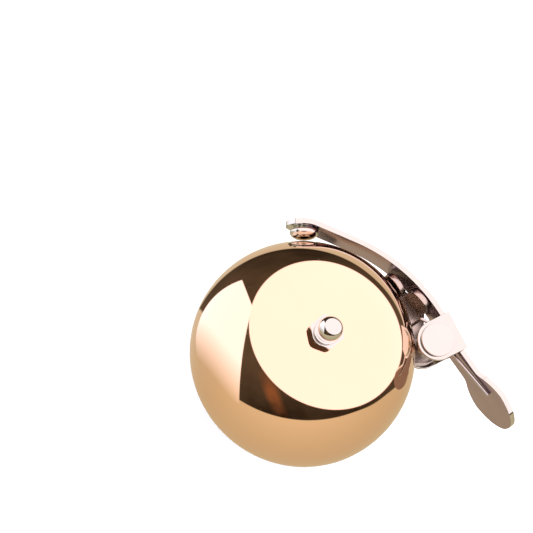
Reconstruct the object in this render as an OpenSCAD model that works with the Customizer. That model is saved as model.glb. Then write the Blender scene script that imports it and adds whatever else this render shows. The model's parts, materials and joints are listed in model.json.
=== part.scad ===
// Bicycle bell: a brass dome on a post, struck by a sprung thumb lever,
// with a two-piece clamp for a round handlebar.
// Frame: the origin is the middle of the clamp, on the handlebar's axis.
// +X runs along the bar towards the pivot, +Z up the dome's own axis,
// and +Y points to the side where the hammer strikes.

/* [Dome] */
// Outside diameter of the dome
dome_d = 55; // [54:0.5:56]
// Thickness of the dome's brass wall
dome_wall = 1.2; // [0.8:0.1:1.5]
// Height of the dome's rim above the handlebar's axis
rim_z = 19; // [18.5:0.5:22]

/* [Post] */
// Diameter of the threaded stud
stud_d = 4; // [3.8:0.1:4]
// Width across the flats of every nut
nut_af = 7; // [7:0.1:7.2]
// Height of the acorn nut
acorn_h = 10; // [9:0.5:11]
// Diameter of the pillar that carries the dome
pillar_d = 8; // [7:0.5:9]

/* [Handlebar clamp] */
// Diameter of the handlebar
bar_d = 22.2; // [22:0.1:22.4]
// Thickness of the rubber liner
liner_t = 1.2; // [1:0.1:1.3]
// Thickness of the clamp's sheet steel
strap_t = 1.2; // [1:0.1:1.3]
// Width of the clamp along the bar
clamp_w = 16; // [14:1:18]
// Gap between the two halves at the screws
clamp_gap = 3; // [2:0.5:3.5]
// Distance of each clamp screw from the bar's axis
screw_y = 18; // [18:0.25:18.5]

/* [Bracket] */
// Thickness of the bracket's sheet steel
plate_t = 1.5; // [1.2:0.1:1.5]
// Height of the stop tab above the dome's rim
stop_tab_h = 8; // [6:0.5:8.5]
// Height of the spring tab above the dome's rim
spring_tab_h = 6.2; // [6:0.1:7]

/* [Lever] */
// Distance of the pivot from the dome's axis, along X
pivot_x = 30.9; // [30.9:0.1:31.5]
// Distance of the pivot from the dome's axis, along Y
pivot_y = 2.3; // [2.2:0.1:2.4]
// Thickness of the lever's steel strip
lever_t = 1.3; // [1.1:0.1:1.4]
// Width of the striking arm
arm_w = 9; // [8:0.5:10]
// Width of the yoke over both ears
yoke_w = 15; // [15:0.1:15.2]
// Radius of the ears' round ends
ear_r = 4.9; // [4.7:0.1:5]
// Width of the thumb paddle
paddle_w = 19; // [16:0.5:19]
// Length of the thumb paddle's oval
paddle_l = 16; // [14:0.5:17]

/* [Pivot] */
// Diameter of the pivot pin
pin_d = 3; // [2.8:0.1:3]
// Diameter of the pin's flat head
pin_head_d = 8.2; // [7.5:0.1:8.5]
// Thickness of the pin's flat head
pin_head_h = 1; // [0.8:0.1:1.2]
// Diameter of the spring's wire
wire_d = 0.85; // [0.7:0.05:0.85]
// Number of whole turns in the spring's coil
coil_turns = 5; // [4:1:5]

/* [Hidden] */
$fn = 96;
eps = 0.01;
fit_gap = 0.05;

// dome and post
dome_r = dome_d / 2;
dome_in_r = dome_r - dome_wall;
dome_flat = 0.35;
dome_flat_z = rim_z + dome_r - dome_flat;
stud_r = stud_d / 2;
stud_hole_r = stud_r + 0.15;
acorn_hex_h = 3.6;
acorn_tip_r = 2.8;
acorn_neck_r = 2.65;
acorn_bore_h = 7.2;
acorn_turn = 41.5;
seat_washer_r = 6;
seat_washer_t = 1.6;

// clamp
bar_r = bar_d / 2;
liner_r = bar_r + liner_t;
strap_r = liner_r + strap_t;
saddle_top = strap_r + 0.5;
stud_head_r = 3.8;
stud_head_h = 1;
stud_head_z = saddle_top - 1 - stud_head_h;
flange_y = 22.4;
flange_z = clamp_gap / 2;
screw_head_r = 3.6;
screw_head_h = 2.4;
lock_washer_h = 0.9;
m4_nut_h = 3.2;
screw_top = flange_z + strap_t + lock_washer_h + m4_nut_h + 0.8;
liner_lip = 1;

// bracket: the low plate lies on the saddle and the high plate passes under the dome's rim
low_z = saddle_top;
high_z = rim_z - 0.6 - plate_t;
step_x0 = 12;
step_x1 = 16;
tab_t = 1.5;
tab_w = 6.6;

// pillar stack
lock_z = low_z + plate_t;
stud_nut_z = lock_z + lock_washer_h;
pillar_z = stud_nut_z + m4_nut_h;
seat_z = rim_z + dome_in_r - seat_washer_t;

// lever: heights, then the strip's middle line seen from above, from the yoke outwards
lever_mid_z = rim_z + 4;
arm_z = lever_mid_z - arm_w / 2;
yoke_z = lever_mid_z - yoke_w / 2;
pivot = [pivot_x, pivot_y];
pin_r = pin_d / 2;
yoke_turn = -62.5;
yoke_wall = 5.3;
yoke_half = 4.9;
arm_turn = yoke_turn + 4;
arm_bend_r = 44;
arm_bend = 37;
arm_straight = 11.5;
tip_turn = -2;
tip_flat = 5.8;
paddle_turn = yoke_turn + 8;
paddle_neck = 6;
function heading(a) = [cos(a), sin(a)];
function outwards(a) = [-sin(a), cos(a)];
yoke_mid = pivot + yoke_wall * outwards(yoke_turn);
arm_start = yoke_mid - yoke_half * heading(yoke_turn);
arm_centre = arm_start - arm_bend_r * outwards(arm_turn);
arm_steps = 18;
arm_arc = [for (i = [arm_steps:-1:0])
    arm_centre + arm_bend_r * outwards(arm_turn + arm_bend * i / arm_steps)];
tip_bend = arm_arc[0] - arm_straight * heading(arm_turn + arm_bend);
tip_end = tip_bend - tip_flat * heading(tip_turn);
paddle_start = yoke_mid + yoke_half * heading(yoke_turn);
paddle_end = paddle_start + (paddle_neck + paddle_l) * heading(paddle_turn);
lever_line = concat([tip_end, tip_bend], arm_arc, [paddle_start, paddle_end]);
hammer_x = tip_end[0] + arm_w / 2;
hammer_top_y = tip_end[1] - lever_t / 2;
hammer_gap = 0.4;
hammer_y = sqrt(dome_r * dome_r - pow(lever_mid_z - rim_z, 2)) + hammer_gap;
hammer_r = 3.6;
hammer_shank_r = 1.2;

// pivot: the bush stands on the bracket, its shoulder under the coil
ear_gap = 0.1;
bush_r = 2.2;
bush_foot_r = 3;
coil_r = 3.05;
coil_z = rim_z + 4.7;
bush_top = yoke_z + yoke_w - lever_t - ear_gap;
neck_r = 3.9;
pivot_washer_r = 3;
pivot_washer_t = 0.6;
peen_r = 2.2;
peen_h = 0.7;

// ---------- shared shapes ----------

module hex(af, h) {
    cylinder(r = af / sqrt(3), h = h, $fn = 6);
}

// A hexagon whose top and bottom corners are turned off by a cone
module turned_hex(af, h, chamfer) {
    corner_r = af / sqrt(3);
    intersection() {
        hex(af, h);
        rotate_extrude()
            polygon([[0, 0], [corner_r - chamfer, 0], [corner_r, chamfer],
                     [corner_r, h - chamfer], [corner_r - chamfer, h], [0, h]]);
    }
}

module ring(r_out, r_in, h) {
    difference() {
        cylinder(r = r_out, h = h);
        translate([0, 0, -eps]) cylinder(r = r_in, h = h + 2 * eps);
    }
}

module plain_nut() {
    difference() {
        turned_hex(nut_af, m4_nut_h, 0.4);
        translate([0, 0, -eps]) cylinder(r = stud_r + 0.02, h = m4_nut_h + 2 * eps);
    }
}

// A split ring, its slit standing on one side
module lock_washer() {
    difference() {
        ring(3.4, stud_r + 0.1, lock_washer_h);
        translate([1, -0.3, -eps]) cube([4, 0.6, lock_washer_h + 2 * eps]);
    }
}

// Everything inside is set up along X and Y and comes out standing on the bar's axis, lying along X
module along_bar(w) {
    rotate([90, 0, 90]) translate([0, 0, -w / 2]) linear_extrude(w) children();
}

// ---------- dome and post ----------

module dome() {
    color("gold")
    difference() {
        intersection() {
            translate([0, 0, rim_z]) sphere(r = dome_r, $fn = 144);
            translate([0, 0, rim_z]) cylinder(r = dome_d, h = dome_r - dome_flat);
        }
        translate([0, 0, rim_z]) sphere(r = dome_in_r, $fn = 144);
        translate([0, 0, rim_z]) cylinder(r = stud_hole_r, h = dome_d);
    }
}

module acorn_nut() {
    tip_z = acorn_h - acorn_tip_r;
    color("silver")
    translate([0, 0, dome_flat_z])
    difference() {
        union() {
            rotate([0, 0, acorn_turn + 30]) turned_hex(nut_af, acorn_hex_h, 0.35);
            cylinder(r = acorn_neck_r, h = tip_z);
            translate([0, 0, tip_z]) sphere(r = acorn_tip_r);
        }
        translate([0, 0, -eps]) cylinder(r = stud_r + 0.02, h = acorn_bore_h);
    }
}

// Its top is dished to the inside of the dome
module dome_seat_washer() {
    color("dimgray")
    difference() {
        intersection() {
            translate([0, 0, seat_z]) cylinder(r = seat_washer_r, h = seat_washer_t);
            translate([0, 0, rim_z]) sphere(r = dome_in_r - 0.02, $fn = 144);
        }
        translate([0, 0, seat_z - eps]) cylinder(r = stud_hole_r, h = 2 * seat_washer_t);
    }
}

module dome_pillar() {
    color("silver")
    translate([0, 0, pillar_z]) ring(pillar_d / 2, stud_hole_r, seat_z - pillar_z);
}

module dome_stud() {
    color("silver")
    union() {
        translate([0, 0, stud_head_z]) cylinder(r = stud_head_r, h = stud_head_h);
        translate([0, 0, stud_head_z])
            cylinder(r = stud_r, h = dome_flat_z + acorn_bore_h - 0.4 - stud_head_z);
    }
}

module stud_nut() {
    color("silver") translate([0, 0, stud_nut_z]) plain_nut();
}

module stud_lock_washer() {
    color("gray") translate([0, 0, lock_z]) lock_washer();
}

// ---------- bracket ----------

// A tab that stands up from the plate, round at the top, facing the direction "face"
module tab(at, face, top_z) {
    translate([at[0], at[1], 0]) rotate([90, 0, face + 90]) translate([0, 0, -tab_t / 2])
    linear_extrude(tab_t)
    union() {
        translate([-tab_w / 2, high_z]) square([tab_w, top_z - tab_w / 2 - high_z]);
        translate([0, top_z - tab_w / 2]) circle(r = tab_w / 2);
    }
}

stop_face = 39.5;
stop_at = arm_centre + (arm_bend_r - lever_t / 2 - 0.15 - tab_t / 2) * heading(stop_face);
spring_face = 37;
spring_tab_at = (dome_r + 0.45 + tab_t / 2) * heading(spring_face);

// The bracket seen from above
module bracket_plan() {
    circle(r = 8);
    translate([0, -6]) square([20, 12]);
    // neck out to the pivot
    translate([18, pivot_y - neck_r]) square([pivot_x - 18, 2 * neck_r]);
    translate(pivot) circle(r = neck_r);
    // wing out to the two tabs
    polygon([[14, -5], [24, -2], [29, 2], [29.3, 6.2],
             stop_at + tab_t / 2 * heading(stop_face) - tab_w / 2 * outwards(stop_face),
             stop_at + tab_t / 2 * heading(stop_face) + tab_w / 2 * outwards(stop_face),
             spring_tab_at + tab_t / 2 * heading(spring_face) + tab_w / 2 * outwards(spring_face),
             spring_tab_at - 8 * heading(spring_face) + tab_w / 2 * outwards(spring_face),
             [14, 5]]);
}

// The bracket's plate seen from the side: low over the clamp, high under the dome's rim
module bracket_side() {
    polygon([[-9, low_z], [step_x0, low_z], [step_x1, high_z], [pivot_x + 9, high_z],
             [pivot_x + 9, high_z + plate_t], [step_x1, high_z + plate_t],
             [step_x0, low_z + plate_t], [-9, low_z + plate_t]]);
}

module bracket() {
    color("silver")
    difference() {
        union() {
            intersection() {
                linear_extrude(rim_z) bracket_plan();
                translate([0, 40, 0]) rotate([90, 0, 0]) linear_extrude(80) bracket_side();
            }
            tab(stop_at, stop_face, rim_z + stop_tab_h);
            tab(spring_tab_at, spring_face, rim_z + spring_tab_h);
        }
        translate([0, 0, low_z - eps]) cylinder(r = stud_hole_r, h = plate_t + 2 * eps);
        translate([pivot_x, pivot_y, high_z - eps]) cylinder(r = bush_r, h = plate_t + 2 * eps);
        translate([hole_at[0], hole_at[1], high_z - eps])
            cylinder(r = wire_r + 0.1, h = plate_t + 2 * eps);
    }
}

// ---------- pivot ----------

module pivot_bush() {
    color("silver")
    translate([pivot_x, pivot_y, 0])
    difference() {
        union() {
            translate([0, 0, high_z]) cylinder(r = bush_r, h = bush_top - high_z);
            translate([0, 0, high_z + plate_t])
                cylinder(r = bush_foot_r, h = coil_z - high_z - plate_t);
        }
        translate([0, 0, high_z - eps])
            cylinder(r = pin_r + fit_gap, h = bush_top - high_z + 2 * eps);
    }
}

// The wire's course: up out of a hole in the bracket, along the fixed leg, down round the coil,
// and out along the moving leg, which lies against the paddle
wire_r = wire_d / 2;
wire_sides = 8;
coil_pitch = wire_d + 0.03;
turn_steps = 20;
fixed_leg_turn = 150;
fixed_leg_l = 5.6;
moving_leg_turn = paddle_turn + 1.3;
moving_leg_l = 18;
moving_leg_straight = 3.5;
moving_leg_rise = 3;
coil_sweep = 360 * coil_turns + (fixed_leg_turn - 90) - (moving_leg_turn + 90);
coil_steps = round(coil_sweep / 360 * turn_steps);
coil_low_z = coil_z + wire_r + 0.02;
function coil_point(angle, z) = [each pivot + coil_r * heading(angle), z];
function coil_at(i) =
    coil_point(fixed_leg_turn - 90 - coil_sweep * i / coil_steps,
               coil_low_z + coil_pitch * coil_sweep / 360 * (1 - i / coil_steps));
coil_path = [for (i = [0:coil_steps]) coil_at(i)];
hole_at = pivot + coil_r * heading(fixed_leg_turn - 90) + fixed_leg_l * heading(fixed_leg_turn);
leg_from = pivot + coil_r * heading(moving_leg_turn + 90);
spring_path = concat(
    [[each hole_at, high_z + 0.3], [each hole_at, coil_path[0][2] - 0.5],
     [each hole_at - 0.5 * heading(fixed_leg_turn), coil_path[0][2]]],
    coil_path,
    [[each leg_from + moving_leg_straight * heading(moving_leg_turn), coil_path[coil_steps][2]],
     [each leg_from + moving_leg_l * heading(moving_leg_turn),
      coil_path[coil_steps][2] + moving_leg_rise]]);

// Rings of points round each point of a path, each ring square to the path there
function unit(v) = v / norm(v);
function along(path, i) =
    unit(path[min(i + 1, len(path) - 1)] - path[max(i - 1, 0)]);
function side_of(dir) = unit(cross(dir, abs(dir[2]) > 0.6 ? [1, 0.3, 0] : [0, 0, 1]));
module swept_wire(path) {
    last = len(path) - 1;
    rings = [for (i = [0:last]) let (dir = along(path, i), side = side_of(dir), up = cross(side, dir))
        for (k = [0:wire_sides - 1]) let (a = 360 * k / wire_sides)
            path[i] + wire_r * (cos(a) * side + sin(a) * up)];
    walls = [for (i = [0:last - 1]) for (k = [0:wire_sides - 1])
        let (j = (k + 1) % wire_sides, lo = i * wire_sides, hi = lo + wire_sides)
            [lo + k, lo + j, hi + j, hi + k]];
    ends = [[for (k = [wire_sides - 1:-1:0]) k], [for (k = [0:wire_sides - 1]) last * wire_sides + k]];
    polyhedron(rings, concat(walls, ends));
}

module torsion_spring() {
    color("lightgray") swept_wire(spring_path);
}

module pivot_pin() {
    ear_top = yoke_z + yoke_w;
    tail_z = yoke_z - pivot_washer_t - peen_h;
    color("silver")
    translate([pivot_x, pivot_y, 0])
    union() {
        translate([0, 0, ear_top])
            rotate_extrude()
                polygon([[0, 0], [pin_head_d / 2, 0], [pin_head_d / 2, pin_head_h - 0.25],
                         [pin_head_d / 2 - 0.25, pin_head_h], [0, pin_head_h]]);
        translate([0, 0, tail_z]) cylinder(r = pin_r, h = ear_top - tail_z + eps);
        translate([0, 0, tail_z]) cylinder(r = peen_r, h = peen_h);
    }
}

module pivot_washer() {
    color("silver")
    translate([pivot_x, pivot_y, yoke_z - pivot_washer_t])
        ring(pivot_washer_r, pin_r, pivot_washer_t);
}

// ---------- lever and hammer ----------

// The whole lever seen from above: one strip of even thickness along its middle line
module lever_strip() {
    half = lever_t / 2;
    last = len(lever_line) - 1;
    turns = [for (i = [0:last]) let (
        run = lever_line[min(i + 1, last)] - lever_line[max(i - 1, 0)]) atan2(run[1], run[0])];
    polygon(concat(
        [for (i = [0:last]) lever_line[i] + half * outwards(turns[i])],
        [for (i = [last:-1:0]) lever_line[i] - half * outwards(turns[i])]));
}

// The arm and the paddle's neck, round at the hammer's end
module arm_slab() {
    translate([hammer_x, -30, arm_z]) cube([paddle_start[0] + 5 - hammer_x, 80, arm_w]);
    translate([hammer_x, 50, lever_mid_z]) rotate([90, 0, 0]) cylinder(r = arm_w / 2, h = 50);
}

module yoke_slab() {
    translate([yoke_mid[0], yoke_mid[1], yoke_z]) rotate([0, 0, yoke_turn])
        translate([-yoke_half, -3, 0]) cube([2 * yoke_half, 6, yoke_w]);
}

// The paddle's oval, two arcs meeting in a blunt neck, seen along the thumb's push
module paddle_slab() {
    oval_r = (paddle_l * paddle_l + paddle_w * paddle_w) / (4 * paddle_l);
    translate([paddle_start[0], paddle_start[1], lever_mid_z])
    rotate([0, 0, paddle_turn]) rotate([90, 0, 0]) translate([0, 0, -5]) linear_extrude(10)
    intersection() {
        translate([paddle_neck + oval_r, 0]) circle(r = oval_r);
        translate([paddle_neck + paddle_l - paddle_w / 2, 0]) circle(r = paddle_w / 2);
    }
}

// The ears are round about the pin and run into the yoke's wall
module ear() {
    rotate([0, 0, yoke_turn + 90]) linear_extrude(lever_t)
    union() {
        circle(r = ear_r);
        translate([0, -ear_r]) square([yoke_wall, 2 * ear_r]);
    }
}

module lever() {
    color("silver")
    difference() {
        union() {
            intersection() {
                linear_extrude(rim_z + 20) lever_strip();
                union() {
                    arm_slab();
                    yoke_slab();
                    paddle_slab();
                }
            }
            translate([pivot_x, pivot_y, yoke_z]) ear();
            translate([pivot_x, pivot_y, yoke_z + yoke_w - lever_t]) ear();
        }
        translate([pivot_x, pivot_y, yoke_z - eps]) cylinder(r = pin_r, h = yoke_w + 2 * eps);
        translate([hammer_x, 50, lever_mid_z]) rotate([90, 0, 0]) cylinder(r = hammer_shank_r, h = 50);
    }
}

// A tapered button with a rounded striking face
module hammer_button() {
    h = hammer_top_y - 0.05 - hammer_y;
    color("silver")
    difference() {
        translate([hammer_x, hammer_top_y - 0.05, lever_mid_z]) rotate([90, 0, 0])
        difference() {
            intersection() {
                rotate_extrude()
                    polygon([[0, 0], [hammer_r - 0.6, 0], [hammer_r, 0.7], [hammer_r, 1.2],
                             [2.4, h], [0, h]]);
                translate([0, 0, h - 8]) sphere(r = 8);
            }
            translate([0, 0, -eps]) cylinder(r = hammer_shank_r, h = 1.8);
        }
        // the seat is filed to lie flat under the bend of the arm
        linear_extrude(rim_z + 20) lever_strip();
    }
}

module hammer_rivet() {
    color("silver")
    translate([hammer_x, hammer_top_y + lever_t, lever_mid_z]) rotate([90, 0, 0])
    union() {
        translate([0, 0, -eps]) cylinder(r = hammer_shank_r, h = lever_t + 1.7);
        intersection() {
            translate([0, 0, -0.8]) cylinder(r = 2.3, h = 0.8);
            translate([0, 0, 2.9]) sphere(r = 3.7);
        }
    }
}

// ---------- handlebar clamp ----------

module flange_holes() {
    for (side = [-1, 1])
        translate([0, side * screw_y, -20]) cylinder(r = stud_hole_r, h = 40);
}

// The half of the clamp above the bar, its section seen along the bar
module half_section() {
    difference() {
        union() {
            circle(r = strap_r);
            translate([-flange_y, flange_z]) square([2 * flange_y, strap_t]);
        }
        circle(r = liner_r);
        translate([-30, flange_z - 40]) square([60, 40]);
    }
}

module clamp_saddle() {
    pad_w = 14;
    color("silver")
    difference() {
        union() {
            along_bar(clamp_w) half_section();
            along_bar(clamp_w)
                difference() {
                    translate([-pad_w / 2, liner_r - 3]) square([pad_w, saddle_top - liner_r + 3]);
                    circle(r = liner_r);
                }
        }
        flange_holes();
        cylinder(r = stud_hole_r, h = saddle_top + 1);
        cylinder(r = stud_head_r + 0.1, h = stud_head_z + stud_head_h);
    }
}

module clamp_strap() {
    color("silver")
    difference() {
        mirror([0, 0, 1]) along_bar(clamp_w) half_section();
        flange_holes();
    }
}

// Half of the rubber liner, on one side of the bar
module liner_half() {
    intersection() {
        along_bar(clamp_w + 2 * liner_lip)
            difference() {
                circle(r = liner_r);
                circle(r = bar_r);
            }
        translate([-clamp_w, -2 * bar_r, 0.3]) cube([2 * clamp_w, 4 * bar_r, 2 * bar_r]);
    }
}

module liner_upper() {
    color("black")
    difference() {
        liner_half();
        cylinder(r = stud_head_r + 0.3, h = 2 * bar_r);
    }
}

module liner_lower() {
    color("black") mirror([0, 0, 1]) liner_half();
}

module clamp_screws() {
    head_z = -flange_z - strap_t;
    color("silver")
    for (side = [-1, 1])
        translate([0, side * screw_y, 0])
        difference() {
            union() {
                translate([0, 0, head_z]) cylinder(r = stud_r, h = screw_top - head_z);
                translate([0, 0, head_z - screw_head_h])
                    cylinder(r = screw_head_r, h = screw_head_h);
            }
            for (turn = [0, 90])
                rotate([0, 0, turn]) translate([-2, -0.4, head_z - screw_head_h - eps])
                    cube([4, 0.8, 1.3]);
        }
}

module clamp_lock_washers() {
    color("gray")
    for (side = [-1, 1])
        translate([0, side * screw_y, flange_z + strap_t]) lock_washer();
}

module clamp_nuts() {
    color("silver")
    for (side = [-1, 1])
        translate([0, side * screw_y, flange_z + strap_t + lock_washer_h]) plain_nut();
}

dome();
acorn_nut();
dome_seat_washer();
dome_pillar();
dome_stud();
stud_nut();
stud_lock_washer();
bracket();
pivot_bush();
torsion_spring();
lever();
hammer_button();
hammer_rivet();
pivot_pin();
pivot_washer();
clamp_saddle();
clamp_strap();
liner_upper();
liner_lower();
clamp_screws();
clamp_lock_washers();
clamp_nuts();
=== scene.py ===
# %% [markdown]
# # A bicycle bell: brass dome, chrome striker and handlebar clamp
# The bell is already drawn as a working part: every solid has its place and the lever
# its hinge. Here each visible piece is made again with care for its edges and its finish,
# and laid over the part it stands for, so the looks follow the mechanism exactly.

# %% The frame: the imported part, in metres
import json
import math
import bpy
from mathutils import Matrix, Vector


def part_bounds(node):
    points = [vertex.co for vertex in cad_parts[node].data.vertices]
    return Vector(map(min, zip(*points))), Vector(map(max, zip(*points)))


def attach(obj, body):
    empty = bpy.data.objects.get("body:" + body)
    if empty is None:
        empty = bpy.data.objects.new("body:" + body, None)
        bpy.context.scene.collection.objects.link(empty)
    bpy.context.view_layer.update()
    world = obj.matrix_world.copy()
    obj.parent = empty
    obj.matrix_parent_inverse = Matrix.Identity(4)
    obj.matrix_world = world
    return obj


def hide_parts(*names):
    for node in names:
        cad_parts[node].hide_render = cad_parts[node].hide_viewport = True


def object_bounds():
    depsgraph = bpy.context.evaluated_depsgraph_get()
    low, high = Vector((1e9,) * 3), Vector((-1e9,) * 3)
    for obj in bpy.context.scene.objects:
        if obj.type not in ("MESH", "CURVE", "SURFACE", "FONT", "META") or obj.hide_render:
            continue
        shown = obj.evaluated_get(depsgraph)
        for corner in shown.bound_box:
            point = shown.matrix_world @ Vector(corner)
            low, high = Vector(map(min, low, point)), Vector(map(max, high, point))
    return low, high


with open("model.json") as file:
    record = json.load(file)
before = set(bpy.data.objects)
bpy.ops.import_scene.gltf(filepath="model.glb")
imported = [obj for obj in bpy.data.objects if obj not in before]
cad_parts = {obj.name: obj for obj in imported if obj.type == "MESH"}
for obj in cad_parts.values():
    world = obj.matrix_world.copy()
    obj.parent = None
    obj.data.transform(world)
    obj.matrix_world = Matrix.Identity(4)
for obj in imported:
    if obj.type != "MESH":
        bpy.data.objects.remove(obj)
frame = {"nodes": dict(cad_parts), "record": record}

part_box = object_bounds()
MM = 0.001
BELL, STRIKER = "bell_body", "striker"
print("part box in mm", [[round(v / MM, 2) for v in corner] for corner in part_box])

# %% [markdown]
# ## Measures
# The pieces share a few measures, so they are named once, in millimetres, as a maker
# would note them on a card: the dome's ball, the pivot's place and the line of the lever.
# Everything else is worked out from these or read from the part's own boxes.

# %% Shared measures
rim_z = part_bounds("dome")[0][2] / MM
dome_r = -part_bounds("dome")[0][0] / MM
dome_wall = 1.2
hinge = frame["record"]["behaviour"]["joints"][0]
pivot = Vector((hinge["pos_m"][0] / MM, hinge["pos_m"][1] / MM))
lever_z = hinge["pos_m"][2] / MM
print("rim at", round(rim_z, 2), "dome radius", round(dome_r, 2), "pivot", [round(v, 2) for v in pivot])

# %% [markdown]
# ## The camera
# A bell shows itself best from well above, leaning a little to one side, so that the
# dome is nearly a full circle and the lever shows its inner face. A long lens
# from about a third of a metre keeps the circle round. The camera stands on a line from
# the middle of the dome's ball and looks a little past it, to leave room for the lever.

# %% Camera
ball = Vector((0, 0, rim_z)) * MM
towards_camera = Vector((-0.18323, -0.16287, 0.96948)).normalized()
distance = 0.350
aim = Vector((-8.737, 21.466, rim_z)) * MM

eye = ball + distance * towards_camera
forward = (aim - eye).normalized()
right = forward.cross(Vector((0, 1, 0))).normalized()
upward = right.cross(forward)
lens = bpy.data.cameras.new("camera")
lens.lens, lens.sensor_width = 96.84, 36
lens.clip_start, lens.clip_end = 0.01, 10
camera = bpy.data.objects.new("camera", lens)
bpy.context.scene.collection.objects.link(camera)
camera.matrix_world = Matrix((
    (right.x, upward.x, -forward.x, eye.x),
    (right.y, upward.y, -forward.y, eye.y),
    (right.z, upward.z, -forward.z, eye.z),
    (0, 0, 0, 1)))
bpy.context.scene.camera = camera
bpy.context.scene.view_settings.view_transform = "Standard"
print("camera at", [round(v, 3) for v in eye])

# %% [markdown]
# ## Writing shaders as sums
# A shader is a tree of small nodes. Written one node at a time it is long and hard to
# read, so one small class stands for a wire in that tree: adding or multiplying wires
# adds the Math node that does it. Any other node comes from one method, `node`.

# %% Wires and trees
class Wire:
    """One output of a node; a sum written with it becomes Math nodes."""

    def __init__(self, tree, socket):
        self.tree, self.socket = tree, socket

    def maths(self, operation, a, b=0.0):
        return self.tree.node("ShaderNodeMath", {"operation": operation}, {0: a, 1: b})

    def __add__(self, other):
        return self.maths("ADD", self, other)

    def __sub__(self, other):
        return self.maths("SUBTRACT", self, other)

    def __rsub__(self, other):
        return self.maths("SUBTRACT", other, self)

    def __mul__(self, other):
        return self.maths("MULTIPLY", self, other)

    def __truediv__(self, other):
        return self.maths("DIVIDE", self, other)

    def __rtruediv__(self, other):
        return self.maths("DIVIDE", other, self)

    def __pow__(self, other):
        return self.maths("POWER", self, other)

    __radd__, __rmul__ = __add__, __mul__

    def held(self):
        """The same value, never under 0 or over 1."""
        return self.maths("MINIMUM", self.maths("MAXIMUM", self, 0.0), 1.0)


class Tree:
    """The nodes of one material or of the world."""

    def __init__(self, owner):
        owner.use_nodes = True
        self.tree = owner.node_tree
        self.tree.nodes.clear()

    def node(self, kind, settings=None, inputs=None, out=0):
        made = self.tree.nodes.new(kind)
        for key, value in (settings or {}).items():
            setattr(made, key, value)
        for key, value in (inputs or {}).items():
            if isinstance(value, Wire):
                self.tree.links.new(value.socket, made.inputs[key])
            else:
                made.inputs[key].default_value = value
        return Wire(self, made.outputs[out])

    def place(self, out="Object"):
        return self.node("ShaderNodeTexCoord", out=out)

    def vector(self, operation, a, b=(0, 0, 0), out=0):
        return self.node("ShaderNodeVectorMath", {"operation": operation}, {0: a, 1: b}, out)

    def stretched(self, where, scale, turn=(0, 0, 0)):
        return self.node("ShaderNodeMapping", {}, {"Vector": where, "Scale": scale, "Rotation": turn})

    def noise(self, where, scale, detail=3.0, roughness=0.5):
        return self.node("ShaderNodeTexNoise", {},
                         {"Vector": where, "Scale": scale, "Detail": detail, "Roughness": roughness})

    def mix(self, share, a, b):
        """From colour a to colour b as share goes from 0 to 1."""
        a, b = (c if isinstance(c, Wire) else (*c, 1) for c in (a, b))
        return self.node("ShaderNodeMix", {"data_type": "RGBA"}, {0: share, 6: a, 7: b}, 2)

    def bump(self, height, strength, depth_mm, under=None):
        inputs = {"Height": height, "Strength": strength, "Distance": depth_mm * MM}
        if under:
            inputs["Normal"] = under
        return self.node("ShaderNodeBump", {}, inputs)

    def finish(self, **inputs):
        """The Principled shader with these inputs, joined to the material's output."""
        named = {key.replace("_", " "): value for key, value in inputs.items()}
        named = {key: (*v, 1) if key == "Base Color" and not isinstance(v, Wire) else v
                 for key, v in named.items()}
        shader = self.node("ShaderNodeBsdfPrincipled", {}, named)
        self.node_output("ShaderNodeOutputMaterial", shader)

    def node_output(self, kind, shader):
        made = self.tree.nodes.new(kind)
        self.tree.links.new(shader.socket, made.inputs["Surface"])


def material(name):
    made = bpy.data.materials.new(name)
    return made, Tree(made)

# %% [markdown]
# ## The studio
# Polished metal shows the room more than itself, so the room matters as much as the
# brass. The bell stands in a light tent: one very large oval diffuser close overhead, a
# second card at the left, a dark gap round them and pale card below. Each is drawn in the
# world's shader as a shape on an imaginary mirror ball, because that is how the dome will
# show it: the middle of the ball is the way to the camera, and its edge is everything
# behind the bell.

# %% World: a light tent, drawn as it shows in a mirror ball
world = bpy.data.worlds.new("light_tent")
bpy.context.scene.world = world
tent = Tree(world)
ball_right = (right - right.dot(towards_camera) * towards_camera).normalized()
ball_up = towards_camera.cross(ball_right)
way = tent.place("Generated")
half_way = tent.vector("NORMALIZE", tent.vector("ADD", way, tuple(towards_camera)))
across = tent.vector("DOT_PRODUCT", half_way, tuple(ball_right), out=1)
height = tent.vector("DOT_PRODUCT", half_way, tuple(ball_up), out=1)
depth = tent.vector("DOT_PRODUCT", half_way, tuple(towards_camera), out=1)
ball_scale, ball_nearness = 0.961, 0.0786
closeness = ball_scale / (1 - ball_nearness * depth)
across, height = across * closeness, height * closeness


def from_middle(x, y):
    dx, dy = across - x, height - y
    return (dx * dx + dy * dy) ** 0.5


def round_card(x, y, radius, soft=0.007):
    """1 inside a circle on the mirror ball and 0 outside it, with a soft edge."""
    return ((radius - from_middle(x, y)) / soft + 0.5).held()


def oval_card(x, y, long, short, turn, soft=0.007):
    """The same for an oval whose long side is turned from level, in degrees."""
    c, s = math.cos(math.radians(turn)), math.sin(math.radians(turn))
    lengthways = ((across - x) * c + (height - y) * s) / long
    sideways = ((height - y) * c - (across - x) * s) / short
    return ((1 - (lengthways * lengthways + sideways * sideways) ** 0.5) * (short / soft) + 0.5).held()


def beside(nx, ny, offset, soft=0.007):
    """1 on one side of a straight edge on the mirror ball."""
    return ((offset - across * nx - height * ny) / soft + 0.5).held()


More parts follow.
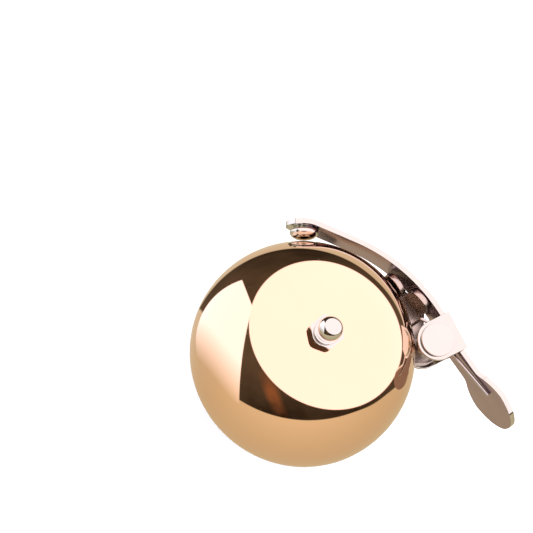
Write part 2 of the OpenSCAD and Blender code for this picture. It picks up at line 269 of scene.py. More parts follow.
diffuser = oval_card(0.200, 0.160, 0.703, 0.612, 140)
left_of_stand = 1 - round_card(2.369, -0.393, 2.919)
side_card = (round_card(-0.343, 0.098, 0.573) * left_of_stand
             * beside(0.9364, 0.351, -0.2632) * beside(-0.7837, -0.621, 0.60, soft=0.26))
no_gap = left_of_stand * (1 - beside(-0.7837, -0.621, 0.45, soft=0.02))
gap = round_card(-0.029, -0.040, 0.952) * round_card(0.056, 0.524, 1.108) * (1 - no_gap)
rim_of_diffuser = oval_card(0.200, 0.160, 0.738, 0.648, 140)
gap = 1 - (1 - gap) * (1 - rim_of_diffuser)
outward = ((from_middle(0, 0) - 0.6) / 0.4).held()
lower = ((0.15 - height) / 0.5).held()

card = tent.mix(outward, (0.90, 0.74, 0.50), (0.62, 0.51, 0.33))
backdrop = tent.mix(lower, (0.74, 0.645, 0.485), card)
cloth = (tent.noise(way, 2.6, 2.0) * 2.6 - 0.8).held()
middle = (1.0 - (height - 0.2) * (height - 0.2) * 1.9).held()
shade = tent.mix(cloth * 0.3 + middle * 0.6, (0.018, 0.012, 0.007), (0.150, 0.110, 0.072))
ember = oval_card(-0.25, -0.38, 0.20, 0.05, 115, soft=0.05) * cloth
shade = tent.mix(ember * 0.8, shade, (0.34, 0.13, 0.05))
room = tent.mix(gap, backdrop, shade)
room = tent.mix(side_card, room, (1.80, 1.68, 1.86))
room = tent.mix(diffuser, room, (1.9, 1.56, 1.60))
print("tent cards: diffuser, side card, gap and backdrop")

# %% [markdown]
# Two small corrections make the tent behave like a real one. The camera's own dark body
# shows only in metal that faces metal, such as the foot of the nut, where a second
# reflection sends the view straight back. And matt things are lit evenly, as they are in
# a tent, so the paper stays white.

# %% The camera's body, even light and the plain view
bounces = tent.node("ShaderNodeLightPath", out="Glossy Depth")
camera_body = round_card(0, 0, 0.22, soft=0.05) * (bounces - 1.0).held()
room = tent.mix(camera_body, room, (0.13, 0.07, 0.042))
room = tent.mix(tent.node("ShaderNodeLightPath", out="Is Diffuse Ray"), room, (1.65, 1.65, 1.67))
room = tent.mix(tent.node("ShaderNodeLightPath", out="Is Camera Ray"), room, (0.90, 0.90, 0.90))
background = tent.node("ShaderNodeBackground", {}, {"Color": room, "Strength": 1.0})
tent.node_output("ShaderNodeOutputWorld", background)
print("camera body, even light and plain view added")

# %% [markdown]
# ## Floor and key light
# The floor is one pale sheet just under the clamp. It's kept out of the mirror
# reflections, since the tent's lower card already stands for it there. A soft lamp inside
# the big diffuser gives rubber and fibre, which mirror nothing, a little shape.

# %% Floor and lamp
def deselect():
    if bpy.context.mode != "OBJECT":
        bpy.ops.object.mode_set(mode="OBJECT")
    bpy.ops.object.select_all(action="DESELECT")


floor_z = part_box[0][2] - 0.0002
deselect()
bpy.ops.mesh.primitive_circle_add(vertices=96, radius=1.6, fill_type="NGON", location=(0, 0, floor_z))
floor = bpy.context.object
floor.name = "floor"
floor.visible_glossy = False
paper, t = material("pale_paper")
mottle = t.noise(t.place(), 25, 4.0)
t.finish(Base_Color=t.mix(mottle, (0.90, 0.91, 0.925), (0.93, 0.94, 0.955)), Roughness=0.9)
floor.data.materials.append(paper)

lamp_data = bpy.data.lights.new("soft_lamp", "AREA")
lamp_data.shape, lamp_data.size, lamp_data.energy = "DISK", 0.5, 3.0
lamp = bpy.data.objects.new("soft_lamp", lamp_data)
lamp.matrix_world = Matrix.Translation((0.25, 0.25, 0.75)) @ Matrix.Rotation(math.radians(25), 4, (-1, 1, 0))
lamp.visible_glossy = False
bpy.context.scene.collection.objects.link(lamp)
print("floor at", round(floor_z / MM, 2))

# %% [markdown]
# ## Polished brass
# The dome is spun from brass sheet, polished on the lathe and lacquered. Up close that
# leaves three things: hair-fine rings round its axis from the polishing, a slow drift of
# colour where the lacquer is thicker, and a few short scratches. They're kept faint,
# because the dome has to stay a mirror.

# %% Brass
brass, t = material("polished_brass_lacquered")
where = t.place()
parts = t.node("ShaderNodeSeparateXYZ", {}, {0: where})
spots = {axis: Wire(t, parts.socket.node.outputs[axis]) for axis in "XYZ"}
off_axis = (spots["X"] * spots["X"] + spots["Y"] * spots["Y"]) ** 0.5
latitude = t.node("ShaderNodeMath", {"operation": "ARCTAN2"}, {0: off_axis, 1: spots["Z"] - rim_z * MM})
rings = t.node("ShaderNodeTexNoise", {"noise_dimensions": "1D"},
               {"W": latitude, "Scale": 420.0, "Detail": 3.0})
drift = t.noise(where, 45, 3.0)
scratch = (t.noise(t.stretched(where, (1, 14, 1), (0.3, 0.2, 0.7)), 300, 2.0) * 9 - 6.1).held()
dust = (t.noise(where, 1600, 1.0) * 12 - 8.9).held()
t.finish(
    Base_Color=t.mix(drift * 0.6 + dust * 0.3, (0.88, 0.625, 0.45), (0.84, 0.575, 0.40)),
    Metallic=1.0,
    Roughness=0.018 + rings * 0.02 + scratch * 0.10 + dust * 0.12,
    Normal=t.bump(rings + scratch * 0.5, 0.02, 0.004))
print("brass made")

# %% [markdown]
# ## Bright chrome and zinc
# The lever, the nut and the pin are chrome plated. Chrome on pressed steel is never quite
# as flat as on a turned piece, so it's given a slight ripple and brush marks along its
# length. The clamp's screws and nuts are zinc plated: duller, bluish and cloudy.

# %% Chrome and zinc
def plated(name, bright, dull, rough, brush, ripple):
    """Plated metal: cloudy colour, brush marks stretched one way, a slow ripple and small nicks."""
    made, t = material(name)
    where = t.place()
    cloud = t.noise(where, 160, 4.0)
    marks = t.noise(t.stretched(where, brush, (0, 0, math.radians(-35))), 260, 3.0, 0.6)
    nicks = (t.noise(where, 1300, 2.0) * 10 - 6.9).held()
    t.finish(
        Base_Color=t.mix(cloud * 0.7 + nicks * 0.3, bright, dull),
        Metallic=1.0,
        Roughness=rough + marks * rough * 0.8 + nicks * 0.15,
        Normal=t.bump(marks, 0.03, 0.01, t.bump(t.noise(where, 110, 1.0), ripple, 0.02)))
    return made


chrome = plated("chrome_plate", (0.60, 0.605, 0.565), (0.54, 0.545, 0.51), 0.03, (1, 18, 1), 0.04)
chrome_pressed = plated(
    "chrome_on_pressed_strip", (0.595, 0.60, 0.56), (0.53, 0.53, 0.495), 0.06, (1, 26, 1), 0.10)
# Painted shade: the inner side's chrome is darker and pinkish, standing for the shade and the brass dome's
# reflection there; its roughness and brush marks are the real finish.
inner_chrome_painted_shade = plated(
    "inner_chrome_with_painted_shade", (0.46, 0.36, 0.41), (0.28, 0.205, 0.225), 0.14, (1, 34, 1), 0.20)
chrome_satin = plated(
    "satin_chrome_on_bracket", (0.52, 0.47, 0.42), (0.40, 0.35, 0.31), 0.17, (1, 20, 1), 0.12)
zinc = plated("zinc_plate", (0.66, 0.67, 0.69), (0.50, 0.51, 0.54), 0.22, (6, 6, 1), 0.15)
drawn_wire = plated("drawn_spring_wire", (0.56, 0.55, 0.54), (0.42, 0.41, 0.40), 0.16, (1, 1, 22), 0.08)
print("metals made")

# %% [markdown]
# ## Fibre and rubber
# The washer under the dome is pressed fibre, and the clamp is lined with black rubber so
# that it grips a painted bar without marking it. Both are matt with a fine grain.

# %% Fibre and rubber
def matt(name, dark, pale, grain, depth_mm):
    made, t = material(name)
    where = t.place()
    fine, coarse = t.noise(where, grain, 5.0, 0.65), t.noise(where, grain / 12, 3.0)
    t.finish(
        Base_Color=t.mix(fine * 0.6 + coarse * 0.4, dark, pale),
        Roughness=0.62 + 0.25 * fine,
        Normal=t.bump(fine, 0.5, depth_mm))
    return made


fibre = matt("pressed_fibre", (0.10, 0.055, 0.03), (0.20, 0.12, 0.07), 2400, 0.05)
rubber = matt("black_rubber", (0.012, 0.012, 0.013), (0.035, 0.034, 0.033), 1800, 0.04)
print("matt finishes made")

# %% [markdown]
# ## Turning round pieces
# Most of a bell is turned: the dome, the cap nut's tip, the pin and the hammer. On a
# screen a turned piece is one ring of points, extruded and scaled step by step along its
# profile, as a lathe hand would step along a drawing. A profile that ends where it began
# is a hollow piece; one that starts and ends on the axis is a solid one.

# %% Modifiers applied by hand
def apply(piece, kind, **settings):
    """Adds a modifier, sets it and applies it."""
    deselect()
    bpy.context.view_layer.objects.active = piece
    piece.select_set(True)
    bpy.ops.object.modifier_add(type=kind)
    modifier = piece.modifiers[-1]
    for key, value in settings.items():
        setattr(modifier, key, value)
    bpy.ops.object.modifier_apply(modifier=modifier.name)


# %% The lathe
def turned(name, at, profile, around=96):
    """A piece turned from (radius, height) steps in mm about an upright axis through at."""
    deselect()
    centre = Vector((at[0], at[1], 0)) * MM
    radius, z = profile[0]
    foot = centre + Vector((0, 0, z * MM))
    bpy.ops.mesh.primitive_circle_add(vertices=around, radius=radius * MM, location=foot)
    bpy.ops.object.transform_apply(location=True, rotation=True, scale=True)
    piece = bpy.context.object
    piece.name = name
    bpy.ops.object.mode_set(mode="EDIT")
    bpy.ops.mesh.select_all(action="SELECT")
    for (r_old, z_old), (r_new, z_new) in zip(profile, profile[1:]):
        bpy.ops.mesh.extrude_region_move(TRANSFORM_OT_translate={"value": (0, 0, (z_new - z_old) * MM)})
        grow = r_new / r_old
        bpy.ops.transform.resize(value=(grow, grow, 1), center_override=centre)
    bpy.ops.mesh.select_all(action="SELECT")
    bpy.ops.mesh.remove_doubles(threshold=0.003 * MM)
    bpy.ops.mesh.normals_make_consistent(inside=False)
    bpy.ops.object.mode_set(mode="OBJECT")
    return piece


AXIS = 0.001


def arc(centre_z, radius, start, end, steps):
    """Steps along a ball's outline, from one angle above its middle to another, in degrees."""
    turns = [math.radians(start + (end - start) * i / steps) for i in range(steps + 1)]
    return [(max(radius * math.cos(a), AXIS), centre_z + radius * math.sin(a)) for a in turns]


def done(piece, body, slot, finish, *nodes, smooth=35, flats=True):
    """Gives a piece its finish and its place in the bell; flats keeps its flat faces shading flat."""
    deselect()
    piece.select_set(True)
    bpy.context.view_layer.objects.active = piece
    bpy.ops.object.transform_apply(location=True, rotation=True, scale=True)
    piece.data.materials.clear()
    piece.data.materials.append(finish)
    bpy.ops.object.shade_smooth_by_angle(angle=math.radians(smooth))
    if flats:
        apply(piece, "WEIGHTED_NORMAL", mode="FACE_AREA", weight=100, keep_sharp=True)
    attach(piece, body)
    if nodes:
        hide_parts(*nodes)
    low = [min(v.co[i] for v in piece.data.vertices) / MM for i in range(3)]
    high = [max(v.co[i] for v in piece.data.vertices) / MM for i in range(3)]
    box = [[round(v, 2) for v in corner] for corner in (low, high)]
    print(piece.name, len(piece.data.polygons), "faces", *box)

# %% [markdown]
# ## The dome
# The bell itself is half a ball of brass 55 mm across, spun over a former from one sheet,
# so it has one even wall, a small flat at the top to seat the nut and a hole for the
# stud. The rim's edge is rounded by hand with emery, which gives it a thin bright line.

# %% Dome
flat_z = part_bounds("dome")[1][2] / MM
flat_angle = math.degrees(math.asin((flat_z - rim_z) / dome_r))
hole_r, edge = 2.15, 0.3
inner_r = dome_r - dome_wall
lip = [(dome_r - edge + edge * math.cos(a), rim_z + edge - edge * math.sin(a))
       for a in [math.radians(d) for d in (90, 60, 30, 0)]]
inside_lip = [(inner_r + edge - edge * math.cos(a), rim_z + edge - edge * math.sin(a))
              for a in [math.radians(d) for d in (0, 30, 60)]]
hole_angle = math.degrees(math.acos(hole_r / inner_r))
flat_r = dome_r * math.cos(math.radians(flat_angle))
profile = (lip + arc(rim_z, dome_r, 1.2, flat_angle - 0.6, 72)
           + [(flat_r - 0.15, flat_z), (hole_r + 0.1, flat_z), (hole_r, flat_z - 0.1)]
           + arc(rim_z, inner_r, hole_angle, 1.2, 56) + inside_lip + [lip[0]])
dome = turned("brass_dome", (0, 0), profile, around=192)
done(dome, BELL, "polished_brass", brass, "dome", smooth=25, flats=False)

# %% [markdown]
# ## The cap nut
# The dome is held by a chromed cap nut: a hexagon whose corners are turned off by a cone,
# a narrow neck and a round tip over the stud's end. The hexagon and the turned blank are
# made apart and the boolean keeps what they share, which is just how the bar is cut.

# %% Booleans and hexagons
def combine(piece, other, operation):
    apply(piece, "BOOLEAN", object=other, operation=operation, solver="EXACT")
    bpy.data.objects.remove(other, do_unlink=True)
    bpy.ops.object.mode_set(mode="EDIT")
    bpy.ops.mesh.select_all(action="SELECT")
    bpy.ops.mesh.remove_doubles(threshold=0.001 * MM)
    bpy.ops.object.mode_set(mode="OBJECT")


def hexagon(name, at, across_flats, low, high, turn=0.0, soften=0.12):
    """A six-sided prism with its upright edges eased, a face looking along turn, in degrees."""
    deselect()
    bpy.ops.mesh.primitive_cylinder_add(
        vertices=6, radius=across_flats / math.sqrt(3) * MM, depth=(high - low) * MM,
        location=(at[0] * MM, at[1] * MM, (low + high) / 2 * MM), rotation=(0, 0, math.radians(turn)))
    piece = bpy.context.object
    piece.name = name
    bpy.ops.object.transform_apply(location=True, rotation=True, scale=True)
    apply(piece, "BEVEL", width=soften * MM, segments=2, limit_method="ANGLE", angle_limit=math.radians(50))
    return piece

# %% Cap nut
nut_low, nut_high = (corner[2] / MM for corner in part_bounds("acorn_nut"))
hex_high, corner_r = 3.6, 7 / math.sqrt(3)
nut = hexagon("cap_nut", (0, 0), 7.0, nut_low - 0.5, nut_low + hex_high + 0.5, turn=71.5)
blank = turned("nut_blank", (0, 0), [
    (AXIS, nut_low), (corner_r - 0.35, nut_low), (corner_r, nut_low + 0.3),
    (corner_r, nut_low + hex_high - 0.35), (corner_r - 0.45, nut_low + hex_high - 0.02),
    (3.3, nut_low + hex_high), (AXIS, nut_low + hex_high)])
combine(nut, blank, "INTERSECT")
tip_r = 2.8
tip_z = nut_high - tip_r
tip = turned("nut_tip", (0, 0), [
    (AXIS, nut_low + hex_high - 0.6), (3.1, nut_low + hex_high - 0.6), (3.1, nut_low + hex_high - 0.15),
    (2.95, nut_low + hex_high + 0.12), (2.7, nut_low + hex_high + 0.2), (2.5, nut_low + hex_high + 0.35),
    (2.5, nut_low + hex_high + 0.75), (2.62, nut_low + hex_high + 0.95)] + arc(tip_z, tip_r, -52, 90, 36))
combine(nut, tip, "UNION")
done(nut, BELL, "bright_chrome", chrome, "acorn_nut", smooth=28)

# %% [markdown]
# ## The lever's strip
# The lever is one pressed strip 1.3 mm thick, standing on edge: a round end that carries
# the hammer, an arm that curves along the dome's rim, a taller yoke at the pivot and an
# oval paddle for the thumb. It's made as one end face, extruded station by station along
# the lever's line, turned to its new heading and scaled to its new height each time.

# %% The strip's line and heights
thick, arm_high, yoke_high = 1.3, 9.0, 15.0
yoke_turn, arm_bend_r, arm_bend = -62.5, 44.0, 37.0
arm_turn, paddle_turn, tip_turn = yoke_turn + 4, yoke_turn + 8, -2.0
arm_straight, tip_flat, yoke_wall, yoke_half = 11.5, 5.8, 5.3, 4.9
neck_l, paddle_l, paddle_wide = 6.0, 16.0, 19.0


def heading(degrees):
    return Vector((math.cos(math.radians(degrees)), math.sin(math.radians(degrees))))


def beside_it(degrees):
    return heading(degrees + 90)


yoke_mid = pivot + yoke_wall * beside_it(yoke_turn)
arm_start = yoke_mid - yoke_half * heading(yoke_turn)
paddle_start = yoke_mid + yoke_half * heading(yoke_turn)
arm_centre = arm_start - arm_bend_r * beside_it(arm_turn)
arm_end = arm_centre + arm_bend_r * beside_it(arm_turn + arm_bend)
tip_bend = arm_end - arm_straight * heading(arm_turn + arm_bend)
tip_end = tip_bend - tip_flat * heading(tip_turn)

stations = []
for step in range(1, 13):
    swing = math.radians(7.5 * step)
    along, high = arm_high / 2 * (1 - math.cos(swing)), arm_high * math.sin(swing)
    stations.append((tip_end + along * heading(tip_turn), tip_turn, high))
straight_turn = arm_turn + arm_bend
stations.append((tip_bend - 0.9 * heading(tip_turn), tip_turn, arm_high))
stations.append((tip_bend - Vector((0.0, 0.12)), (tip_turn + straight_turn) / 2, arm_high))
stations.append((tip_bend + 0.9 * heading(straight_turn), straight_turn, arm_high))
for i in range(25):
    turn = straight_turn - arm_bend * i / 24
    stations.append((arm_centre + arm_bend_r * beside_it(turn), turn, arm_high))
stations.append((arm_start + 0.05 * heading(yoke_turn), yoke_turn, yoke_high))
stations.append((yoke_mid, yoke_turn, yoke_high))
stations.append((paddle_start - 0.05 * heading(yoke_turn), yoke_turn, yoke_high))
oval_r = (paddle_l ** 2 + paddle_wide ** 2) / (4 * paddle_l)
paddle_half, paddle_tip = paddle_wide / 2, neck_l + paddle_l
round_part = [paddle_tip - paddle_half * (1 - math.cos(math.radians(a))) for a in range(62, 3, -6)]
for along in [0.1, 2, 4, 5.5, 6.5, 7.5, 8.5, 9.5, 11, 12.5, 14, 15.5] + round_part:
    blunt = math.sqrt(max(oval_r ** 2 - (along - neck_l - oval_r) ** 2, 0))
    round_end = math.sqrt(max(paddle_half ** 2 - (along - paddle_tip + paddle_half) ** 2, 0))
    oval, neck = min(blunt, round_end), (arm_high / 2 if along < 15 else 0)
    half = max(oval, neck) if along > 15 else (oval + neck + math.sqrt((oval - neck) ** 2 + 0.8)) / 2
    stations.append((paddle_start + along * heading(paddle_turn), paddle_turn, 2 * min(half, paddle_half)))
ends = [[round(v, 1) for v in place] for place in (tip_end, stations[-1][0])]
print(len(stations), "stations from", ends[0], "to", ends[1])

# %% Extruding a strip through its stations
def strip(name, stations, thick, middle_z):
    """A strip on edge through (place, heading, height) stations, all in mm and degrees."""
    deselect()
    place, turn, high = stations[0]
    bpy.ops.mesh.primitive_plane_add(size=1, location=(0, 0, 0))
    piece = bpy.context.object
    piece.name = name
    piece.scale = (high * MM, thick * MM, 1)
    piece.rotation_euler = (0, math.radians(90), math.radians(turn))
    piece.location = (place.x * MM, place.y * MM, middle_z * MM)
    bpy.ops.object.transform_apply(location=True, rotation=True, scale=True)
    bpy.ops.object.mode_set(mode="EDIT")
    bpy.ops.mesh.select_all(action="SELECT")
    for (here, turn_here, high_here), (there, turn_there, high_there) in zip(stations, stations[1:]):
        step, swing = (there - here) * MM, math.radians(turn_there - turn_here)
        bpy.ops.mesh.extrude_region_move(TRANSFORM_OT_translate={"value": (step.x, step.y, 0)})
        centre = (there.x * MM, there.y * MM, middle_z * MM)
        if turn_there != turn_here:
            bpy.ops.transform.rotate(value=-swing, orient_axis="Z", center_override=centre)
        bpy.ops.transform.resize(value=(1, 1, high_there / high_here), center_override=centre)
    bpy.ops.mesh.select_all(action="SELECT")
    bpy.ops.mesh.remove_doubles(threshold=0.001 * MM)
    bpy.ops.mesh.normals_make_consistent(inside=False)
    bpy.ops.object.mode_set(mode="OBJECT")
    return piece


lever = strip("lever_strip", stations, thick, lever_z)
print("strip:", len(lever.data.polygons), "faces")

# %% [markdown]
# ## The yoke's ears
# The yoke is folded over at top and bottom into two flat ears that hold the pin. An ear
# is a disc cut in half through the pin, whose cut face is then pulled out to the wall.
# Both ears are joined to the strip, and the edges of the whole are eased together, as
# tumbling and plating leave them. The strip's inner side, which faces the dome, is rougher and shows the brush
# marks of the pressing; its darker, pinkish colour is painted shade and a painted reflection of the brass
# dome.

# %% Tongues: round-ended tabs
def tongue(at, axis, pull, radius, thick, length, ease=0.2):
    """A round-ended tab in mm: a disc about axis through at, cut in half and pulled out straight."""
    deselect()
    at, axis, pull = Vector(at) * MM, Vector(axis).normalized(), Vector(pull).normalized()
    bpy.ops.mesh.primitive_cylinder_add(
        vertices=72, radius=radius * MM, depth=thick * MM, location=at,
        rotation=Vector((0, 0, 1)).rotation_difference(axis).to_euler())
    piece = bpy.context.object
    bpy.ops.object.transform_apply(location=True, rotation=True, scale=True)
    bpy.ops.object.mode_set(mode="EDIT")
    bpy.ops.mesh.select_all(action="SELECT")
    bpy.ops.mesh.bisect(plane_co=at, plane_no=pull, use_fill=True, clear_outer=True)
    bpy.ops.mesh.extrude_region_move(TRANSFORM_OT_translate={"value": pull * length * MM})
    bpy.ops.mesh.select_all(action="SELECT")
    bpy.ops.mesh.normals_make_consistent(inside=False)
    bpy.ops.object.mode_set(mode="OBJECT")
    if ease:
        apply(piece, "BEVEL", width=ease * MM, segments=3, limit_method="ANGLE", angle_limit=math.radians(40))
    return piece

# %% Ears joined to the strip
apply(lever, "BEVEL", width=0.2 * MM, segments=3, limit_method="ANGLE", angle_limit=math.radians(40))
to_wall = beside_it(yoke_turn).to_3d()
yoke_low = lever_z - yoke_high / 2
for low in (yoke_low, yoke_low + yoke_high - thick):
    ear_middle = (pivot.x, pivot.y, low + thick / 2)
    ear = tongue(ear_middle, (0, 0, 1), to_wall, yoke_half, thick, yoke_wall + thick / 2 - 0.25)
    combine(lever, ear, "UNION")
done(lever, STRIKER, "bright_chrome", chrome_pressed, "lever", smooth=40)

# %% The strip's inner side
# The inner faces get the darker, pinkish chrome: painted shade and a painted reflection of the brass dome.
lever.data.materials.append(inner_chrome_painted_shade)
inward = Vector((-0.64, -0.77, 0))
inner_faces = [f for f in lever.data.polygons if f.normal.dot(inward) > 0.8 and abs(f.normal.z) < 0.2]
for f in inner_faces:
    f.material_index = 1
print(len(inner_faces), "faces on the inner side have thin chrome")

# %% [markdown]
# ## The hammer and its rivet
# The hammer is a small turned button that tapers to a rounded face, so that it touches
# the dome at one point and rings it clean. Its shank goes through the arm's round end and
# is riveted over outside into a low head with the mark of the snap in its middle.

# %% Hammer and rivet
def along_y(piece, x, y, z):
    """Lays a piece that was turned upright at the origin along Y, its foot at this place, facing the dome."""
    piece.rotation_euler = (math.radians(90), 0, 0)
    piece.location = (x * MM, y * MM, z * MM)


hammer_low, hammer_high = (Vector(c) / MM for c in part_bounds("hammer_button"))
hammer_x = (hammer_low.x + hammer_high.x) / 2
length = hammer_high.y - hammer_low.y
face_r = 8.0
face = [(r, length - face_r + math.sqrt(face_r ** 2 - r ** 2)) for r in (2.25, 2.0, 1.6, 1.2, 0.8, 0.4)]
button = turned("hammer_face", (0, 0), [
    (AXIS, 0), (2.5, 0), (2.7, 0.25), (2.75, 0.5), (3.1, 0.62), (3.4, 0.8), (3.57, 1.05), (3.6, 1.3),
    (3.52, 1.65), (3.35, 1.95), (3.1, 2.25), (2.8, 2.5), (2.5, length - 0.5)] + face + [(AXIS, length)],
    around=72)
along_y(button, hammer_x, hammer_high.y, lever_z)
done(button, STRIKER, "bright_chrome", chrome, "hammer_button", smooth=30)

rivet_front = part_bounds("hammer_rivet")[1][1] / MM
rivet = turned("rivet_snapped_head", (0, 0), [
    (AXIS, 0.24), (0.35, 0.22), (0.6, 0.06), (0.85, 0.0), (1.3, 0.06), (1.8, 0.26), (2.15, 0.52),
    (2.28, 0.74), (2.28, 0.84), (1.2, 0.84), (1.2, 2.6), (AXIS, 2.6)], around=64)
along_y(rivet, hammer_x, rivet_front, lever_z)
done(rivet, STRIKER, "bright_chrome", chrome, "hammer_rivet", smooth=30)

# %% [markdown]
# ## The pivot pin
# The lever turns on a shouldered pin with a broad flat head, faced on the lathe so it is
# the flattest, brightest surface on the bell. The other end is peened over the washer.

# %% Pin
pin_low, pin_high = (c[2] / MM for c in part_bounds("pivot_pin"))
head_r = (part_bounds("pivot_pin")[1][0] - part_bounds("pivot_pin")[0][0]) / MM / 2
pin = turned("pivot_pin_faced", pivot, [
    (AXIS, pin_low), (0.3, pin_low + 0.02), (0.9, pin_low + 0.06), (1.6, pin_low + 0.2), (2.05, pin_low + 0.4),
    (2.2, pin_low + 0.6), (2.2, pin_low + 0.7), (1.5, pin_low + 0.7), (1.5, pin_high - 1.0),
    (head_r - 0.08, pin_high - 1.0), (head_r, pin_high - 0.92), (head_r, pin_high - 0.3),
    (head_r - 0.08, pin_high - 0.12), (head_r - 0.25, pin_high - 0.03), (head_r - 0.45, pin_high),
    (AXIS, pin_high)], around=128)
done(pin, STRIKER, "bright_chrome", chrome, "pivot_pin", smooth=30)

# %% [markdown]
# ## The return spring
# A wire coil round the pivot pushes the lever back. Its upper leg drops into a hole in the
# bracket and its lower one lies along the paddle. Wire is what a bevelled curve is for: the
# curve follows the wire's middle, and its round section is swept along it.

# %% Spring
wire_r, coil_r, pitch = 0.425, 3.05, 0.88
fixed_turn, fixed_l, moving_turn, moving_l = 150.0, 5.6, paddle_turn + 1.3, 18.0
low_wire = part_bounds("pivot_bush")[0][2] / MM + 6.8 + wire_r + 0.02
sweep = 360 * 5 + (fixed_turn - 90) - (moving_turn + 90)
hole = pivot + coil_r * heading(fixed_turn - 90) + fixed_l * heading(fixed_turn)
turns = int(sweep / 360 * 40)
high_wire = low_wire + pitch * sweep / 360
coil = [(*(pivot + coil_r * heading(fixed_turn - 90 - sweep * i / turns)),
         high_wire - pitch * sweep / 360 * i / turns) for i in range(turns + 1)]
leg_from = pivot + coil_r * heading(moving_turn + 90)
leg_end = leg_from + moving_l * heading(moving_turn)
elbow = hole - 0.5 * heading(fixed_turn)
top_leg = [(*hole, 17.2), (*hole, high_wire - 0.55), (*(hole - 0.15 * heading(fixed_turn)), high_wire - 0.14),
           (*elbow, high_wire)]
bottom_leg = [(*(leg_from + 3.5 * heading(moving_turn)), low_wire), (*leg_end, low_wire + 3.0)]


def wire(name, course, hidden=0):
    """Round wire along a course of (x, y, z) points in mm; the first hidden points are a little thinner."""
    curve = bpy.data.curves.new(name, "CURVE")
    curve.dimensions, curve.use_fill_caps = "3D", True
    curve.bevel_depth, curve.bevel_resolution = wire_r * MM, 4
    line = curve.splines.new("POLY")
    line.points.add(len(course) - 1)
    for i, (point, place) in enumerate(zip(line.points, course)):
        point.co = (*(v * MM for v in place), 1)
        point.radius = 0.96 if i < hidden else 1.0
    piece = bpy.data.objects.new(name, curve)
    bpy.context.scene.collection.objects.link(piece)
    deselect()
    piece.select_set(True)
    bpy.context.view_layer.objects.active = piece
    bpy.ops.object.convert(target="MESH")
    bpy.ops.object.mode_set(mode="EDIT")
    bpy.ops.mesh.select_all(action="SELECT")
    bpy.ops.mesh.remove_doubles(threshold=0.001 * MM)
    bpy.ops.mesh.normals_make_consistent(inside=False)
    bpy.ops.object.mode_set(mode="OBJECT")
    return bpy.context.object


# The bottom leg turns with the lever, so the coil's last bit goes with it and hides in the rest.
split, overlap = len(coil) - 3, 5
spring = wire("return_spring", top_leg + coil[:split])
done(spring, BELL, "spring_steel", drawn_wire, "torsion_spring", smooth=50)
spring_leg = wire("return_spring_leg", coil[split - overlap:] + bottom_leg, hidden=overlap)
done(spring_leg, STRIKER, "spring_steel", drawn_wire, smooth=50)

# %% [markdown]
# ## Pressed and cut pieces
# The clamp halves, the nuts and the washers already have their exact shape in the part. What they lack is the
# eased edge that catches the light, so a copy of each is merged, its flat faces made whole, and its edges
# bevelled.

# %% Copies with eased edges
def merged(name, node):
    """A copy of a part's solid with its triangles joined into whole flat faces."""
    deselect()
    piece = bpy.data.objects.new(name, frame["nodes"][node].data.copy())
    bpy.context.scene.collection.objects.link(piece)
    piece.select_set(True)
    bpy.context.view_layer.objects.active = piece
    bpy.ops.object.mode_set(mode="EDIT")
    bpy.ops.mesh.select_all(action="SELECT")
    bpy.ops.mesh.remove_doubles(threshold=0.002 * MM)
    bpy.ops.mesh.dissolve_limited(angle_limit=math.radians(0.5))
    bpy.ops.object.mode_set(mode="OBJECT")
    return piece


def eased(name, node, body, slot, finish, width):
    """A copy of a part's solid with its edges eased by width mm."""
    piece = merged(name, node)
    apply(piece, "BEVEL", width=width * MM, segments=2, limit_method="ANGLE", angle_limit=math.radians(38))
    done(piece, body, slot, finish, node)

# %% [markdown]
# The bracket is made new, since its tabs and its step show. Its high end is a plate cut
# to an outline, its low end a round-ended tab that is pulled up a step to meet the plate,
# and the two upright tabs are round-ended tabs as well. Joined, and drilled for the bush,
# the stud and the spring's upper leg, they read as one pressing.

# %% Plates cut to an outline
def plate(name, outline, low, high, ease=0.18):
    """A flat plate cut to an outline of (x, y) points in mm."""
    deselect()
    bpy.ops.mesh.primitive_circle_add(vertices=len(outline), radius=MM, fill_type="NGON")
    piece = bpy.context.object
    piece.name = name
    for corner, (x, y) in zip(piece.data.vertices, outline):
        corner.co = (x * MM, y * MM, low * MM)
    bpy.ops.object.mode_set(mode="EDIT")
    bpy.ops.mesh.select_all(action="SELECT")
    bpy.ops.mesh.extrude_region_move(TRANSFORM_OT_translate={"value": (0, 0, (high - low) * MM)})
    bpy.ops.mesh.select_all(action="SELECT")
    bpy.ops.mesh.normals_make_consistent(inside=False)
    bpy.ops.object.mode_set(mode="OBJECT")
    apply(piece, "BEVEL", width=ease * MM, segments=2, limit_method="ANGLE", angle_limit=math.radians(40))
    return piece

# %% The bracket's plate
plate_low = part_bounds("pivot_bush")[0][2] / MM
bracket_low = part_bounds("bracket")[0][2] / MM
sheet, neck_r = 1.5, 3.9
plate_high = plate_low + sheet
stop_face, spring_face, tab_wide = 39.5, 37.0, 6.6
stop_at = arm_centre + (arm_bend_r - thick / 2 - 0.15 - sheet / 2) * heading(stop_face)
spring_tab_at = (dome_r + 0.45 + sheet / 2) * heading(spring_face)


def tab_corner(at, face, sideways, back=0.0):
    return tuple(at + (sheet / 2 - back) * heading(face) + sideways * tab_wide / 2 * beside_it(face))


neck_end = [tuple(pivot + neck_r * heading(a)) for a in range(-90, 91, 10)]
tab_side = [tab_corner(stop_at, stop_face, -1), tab_corner(stop_at, stop_face, 1),
            tab_corner(spring_tab_at, spring_face, 1), tab_corner(spring_tab_at, spring_face, 1, 7.2)]
outline = [(15.6, -6), (19, -5.6), (24, -2)] + neck_end + tab_side + [(15.6, 6)]
bracket = plate("bracket_folded", outline, plate_low, plate_high)
print("bracket plate:", len(bracket.data.polygons), "faces")

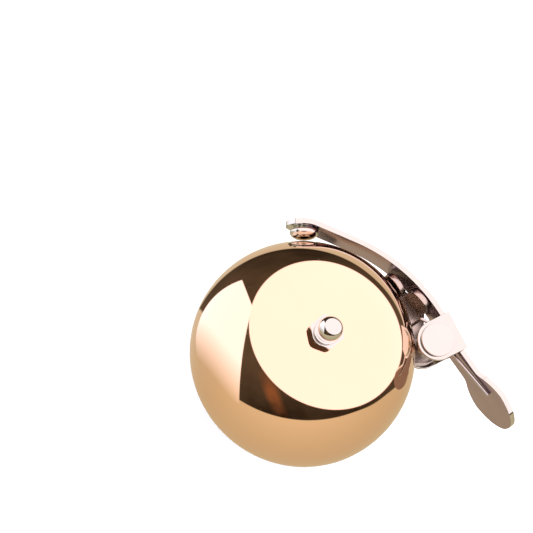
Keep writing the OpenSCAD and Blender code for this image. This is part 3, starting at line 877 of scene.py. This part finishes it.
# %% The bracket's foot and its step
foot_r, foot_l, step_l, join_l = 7, 12, 3.6, 0.6
foot = tongue((0, 0, bracket_low + sheet / 2), (0, 0, 1), (1, 0, 0), foot_r, sheet, foot_l, ease=0)
bpy.ops.object.mode_set(mode="EDIT")
bpy.ops.mesh.select_all(action="DESELECT")
bpy.ops.object.mode_set(mode="OBJECT")
for f in foot.data.polygons:
    f.select = f.normal.x > 0.9
bpy.ops.object.mode_set(mode="EDIT")
step_up = (step_l * MM, 0, (plate_low - bracket_low) * MM)
bpy.ops.mesh.extrude_region_move(TRANSFORM_OT_translate={"value": step_up})
bpy.ops.transform.resize(value=(1, 12 / 14, 1), center_override=(0, 0, 0))
bpy.ops.mesh.extrude_region_move(TRANSFORM_OT_translate={"value": (join_l * MM, 0, 0)})
bpy.ops.object.mode_set(mode="OBJECT")
combine(bracket, foot, "UNION")
print("with its foot:", len(bracket.data.polygons), "faces")

# %% The bracket's tabs and holes
for at, face, top in ((stop_at, stop_face, 27.0), (spring_tab_at, spring_face, 25.2)):
    middle_z = top - tab_wide / 2
    tab = tongue((at.x, at.y, middle_z), heading(face).to_3d(), (0, 0, -1), tab_wide / 2, sheet,
                 middle_z - plate_high + 0.4, ease=0.25)
    combine(bracket, tab, "UNION")
for name, at, radius in (("bush_hole", pivot, 2.2), ("stud_hole", (0, 0), 2.15), ("leg_hole", hole, 0.52)):
    drill = turned(name, at, [(AXIS, bracket_low - 1), (radius, bracket_low - 1),
                              (radius, plate_high + 1), (AXIS, plate_high + 1)], around=64)
    combine(bracket, drill, "DIFFERENCE")
done(bracket, BELL, "bright_chrome", chrome_satin, "bracket", smooth=30)

# %% The other pressed and cut pieces
eased("clamp_saddle_band", "clamp_saddle", BELL, "bright_chrome", chrome_pressed, 0.2)
eased("clamp_strap_band", "clamp_strap", BELL, "bright_chrome", chrome_pressed, 0.2)
eased("liner_upper_rubber", "liner_upper", BELL, "liner_rubber", rubber, 0.15)
eased("liner_lower_rubber", "liner_lower", BELL, "liner_rubber", rubber, 0.15)
eased("dome_post", "dome_pillar", BELL, "zinc_steel", zinc, 0.15)
eased("dome_stud_bolt", "dome_stud", BELL, "zinc_steel", zinc, 0.15)
eased("stud_hexagon_nut", "stud_nut", BELL, "zinc_steel", zinc, 0.08)
eased("stud_split_washer", "stud_lock_washer", BELL, "zinc_steel", zinc, 0.08)
eased("seat_washer_fibre", "dome_seat_washer", BELL, "fibre", fibre, 0.12)
eased("pivot_bush_turned", "pivot_bush", BELL, "zinc_steel", zinc, 0.1)
eased("pivot_flat_washer", "pivot_washer", STRIKER, "zinc_steel", zinc, 0.1)
eased("clamp_screw_pair", "clamp_screws", BELL, "zinc_steel", zinc, 0.1)
eased("clamp_split_washers", "clamp_lock_washers", BELL, "zinc_steel", zinc, 0.08)
eased("clamp_nut_pair", "clamp_nuts", BELL, "zinc_steel", zinc, 0.08)
